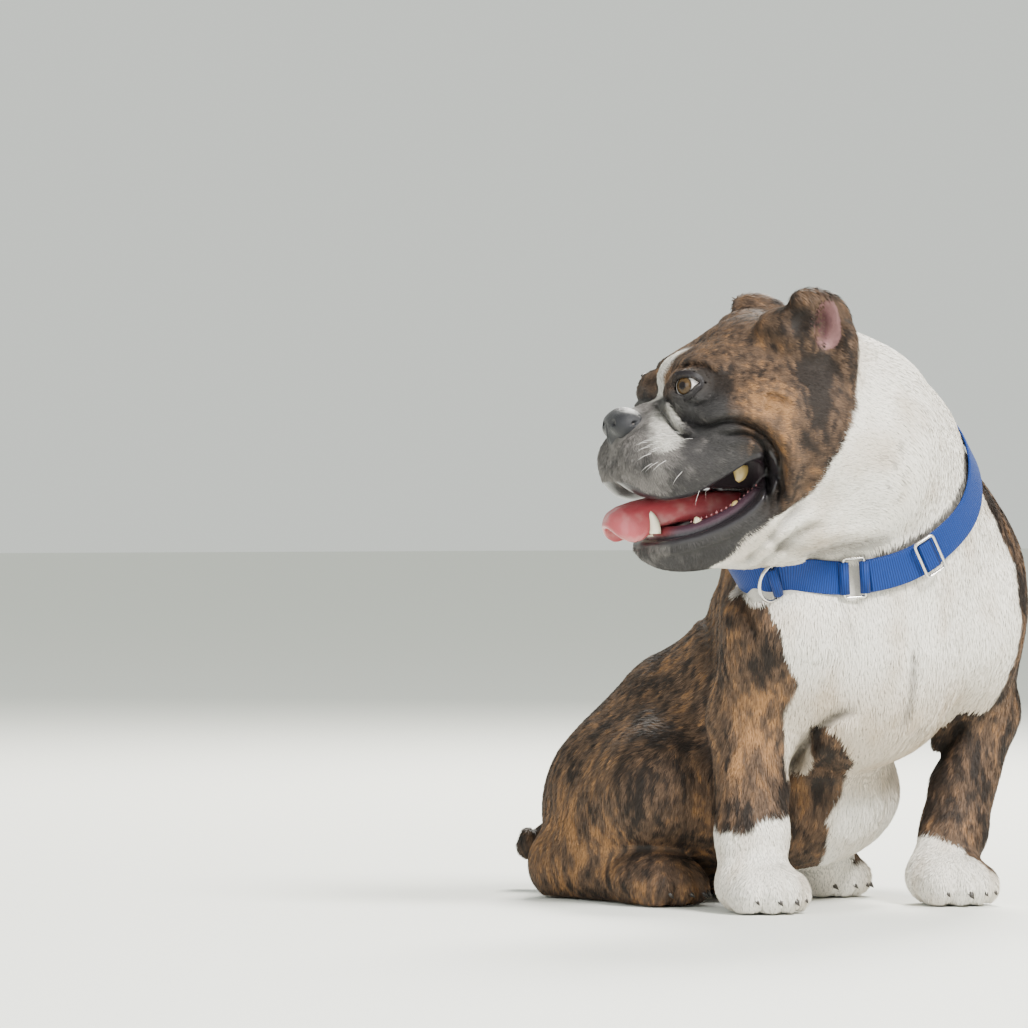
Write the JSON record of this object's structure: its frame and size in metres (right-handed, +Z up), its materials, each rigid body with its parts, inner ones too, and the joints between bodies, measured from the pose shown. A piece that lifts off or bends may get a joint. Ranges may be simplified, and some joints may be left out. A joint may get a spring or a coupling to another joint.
{
  "type": "english bulldog",
  "caption": "Sitting bulldog at life size, head turned to its right, mouth open and tongue out, with a webbing collar and metal fittings.",
  "frame": {"origin": "on the floor, under the middle of the model's box", "axes": "the chest faces -Y, +X is the dog's left, +Z is up; the face is turned to -X"},
  "size_m": [0.3988, 0.4804, 0.4719],
  "materials": {
    "brindle_coat": "short dense hair, dark brown with golden brindle",
    "white_coat": "short dense hair, cream white",
    "dark_coat": "short dense hair, grey black, over bare dark lips",
    "nose_leather": "moist, pebbled",
    "eye": "polished, hazel iris",
    "tongue": "moist, soft",
    "webbing": "ribbed woven nylon, royal blue",
    "collar_metal": "nickel plated, bright"
  },
  "bodies": {
    "root": {"head": "brindle_coat", "muzzle": "dark_coat", "lower_jaw": "dark_coat", "nose": "nose_leather", "ear_left": "brindle_coat", "ear_right": "brindle_coat", "eye_left": "eye", "eye_right": "eye", "tongue": "tongue", "neck": "white_coat", "torso": "brindle_coat", "foreleg_right": "brindle_coat", "foreleg_left": "brindle_coat", "hindleg_right": "brindle_coat", "hindleg_left": "brindle_coat", "tail": "brindle_coat", "collar_strap": "webbing", "collar_strap_tail": "webbing", "collar_ring": "collar_metal", "collar_slider": "collar_metal", "collar_d_ring": "collar_metal"}
  },
  "joints": []
}
